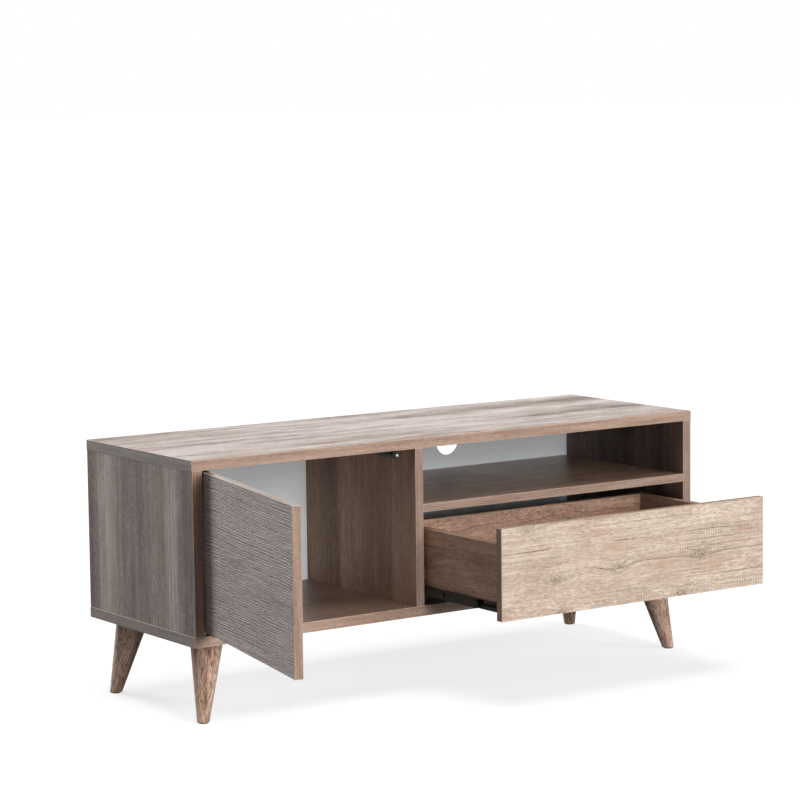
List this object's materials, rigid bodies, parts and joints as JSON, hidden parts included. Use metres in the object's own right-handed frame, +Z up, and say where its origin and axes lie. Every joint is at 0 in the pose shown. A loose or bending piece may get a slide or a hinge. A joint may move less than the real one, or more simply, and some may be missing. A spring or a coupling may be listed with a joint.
{
  "type": "tv stand with doors",
  "caption": "Low oak-look TV stand on splayed legs, with an inset door, an inset drawer and an open shelf bay.",
  "frame": {"origin": "on the floor, in the middle of the box round the whole stand with its door open and its drawer pulled out", "axes": "+X along the stand's width to its right end, +Y towards its back, +Z up; the front looks to -Y"},
  "size_m": [1.271, 0.8534, 0.5],
  "materials": {
    "oak_laminate": "matt oak decor foil on particle board, fine pores",
    "oak_edge": "matt oak decor edge band",
    "oak_front": "matt embossed oak decor with cracks and saw marks",
    "oak_drawer_box": "matt oak decor foil",
    "oak_solid": "satin lacquered solid oak, open pores",
    "beech": "raw fluted dowel",
    "white_board": "thin fibre board with a smooth white face",
    "zinc_steel": "bright zinc plated",
    "black_steel": "black electrophoretic coat, low gloss",
    "black_plastic": "moulded, fine texture",
    "white_plastic": "moulded nylon",
    "cap_foil": "self-adhesive cap in the colour of the board"
  },
  "bodies": {
    "carcass": {"top_panel": "oak_laminate", "top_edge_band": "oak_edge", "bottom_panel": "oak_laminate", "bottom_edge_band": "oak_edge", "left_side": "oak_laminate", "left_side_edge_band": "oak_edge", "right_side": "oak_laminate", "right_side_edge_band": "oak_edge", "divider": "oak_laminate", "divider_edge_band": "oak_edge", "shelf": "oak_laminate", "shelf_edge_band": "oak_edge", "back_panel": "white_board", "leg_front_left": "oak_solid", "leg_front_right": "oak_solid", "leg_rear_left": "oak_solid", "leg_rear_right": "oak_solid", "leg_bolts": "zinc_steel", "leg_insert_nuts": "zinc_steel", "foot_glides": "black_plastic", "dowels": "beech", "cam_locks": "zinc_steel", "cam_bolts": "zinc_steel", "cam_caps": "cap_foil", "confirmat_screws": "zinc_steel", "hinge_plate_top": "black_steel", "hinge_plate_bottom": "black_steel", "hinge_plate_screws": "black_steel", "hinge_washers": "black_plastic", "door_latch_housing": "black_plastic", "drawer_latch_housing": "black_plastic", "latch_screws": "zinc_steel", "slide_outer_left": "black_steel", "slide_outer_right": "black_steel", "slide_outer_screws": "zinc_steel"},
    "door": {"door_panel": "oak_laminate", "door_edge_band": "oak_edge", "hinge_leaf_top": "black_steel", "hinge_leaf_bottom": "black_steel", "hinge_leaf_screws": "black_steel"},
    "drawer": {"drawer_front": "oak_front", "drawer_front_edge_band": "oak_edge", "drawer_left_side": "oak_drawer_box", "drawer_right_side": "oak_drawer_box", "drawer_back": "oak_drawer_box", "drawer_bottom": "white_board", "drawer_box_edge_bands": "oak_edge", "drawer_cam_locks": "zinc_steel", "drawer_cam_bolts": "zinc_steel", "drawer_back_screws": "zinc_steel", "slide_inner_left": "black_steel", "slide_inner_right": "black_steel", "slide_inner_screws": "zinc_steel"},
    "slide_middle_left": {"slide_middle_left": "black_steel", "slide_bumper_left": "black_plastic"},
    "slide_middle_right": {"slide_middle_right": "black_steel", "slide_bumper_right": "black_plastic"},
    "door_latch_plunger": {"door_latch_plunger": "white_plastic"},
    "drawer_latch_plunger": {"drawer_latch_plunger": "white_plastic"}
  },
  "joints": [
    {"name": "door_swing", "type": "hinge", "parent": "carcass", "child": "door", "pos_m": [-0.53301, 0.03224, 0.327], "axis": [0, 0, -1], "range_deg": [-102, 8]},
    {"name": "drawer_pull", "type": "slide", "parent": "carcass", "child": "drawer", "axis": [0, -1, 0], "range_m": [-0.248, 0.102]},
    {"name": "left_slide_run", "type": "slide", "parent": "carcass", "child": "slide_middle_left", "axis": [0, -1, 0], "range_m": [-0.1865, 0.077]},
    {"name": "right_slide_run", "type": "slide", "parent": "carcass", "child": "slide_middle_right", "axis": [0, -1, 0], "range_m": [-0.1865, 0.077]},
    {"name": "door_latch_push", "type": "slide", "parent": "carcass", "child": "door_latch_plunger", "axis": [0, 1, 0], "range_m": [0, 0.003], "stiffness_N_per_m": 300, "springref_m": -0.01},
    {"name": "drawer_latch_push", "type": "slide", "parent": "carcass", "child": "drawer_latch_plunger", "axis": [0, 1, 0], "range_m": [0, 0.003], "stiffness_N_per_m": 300, "springref_m": -0.01}
  ],
  "couplings": [
    {"joint": "left_slide_run", "follows": "drawer_pull", "ratio": 0.75},
    {"joint": "right_slide_run", "follows": "drawer_pull", "ratio": 0.75}
  ]
}
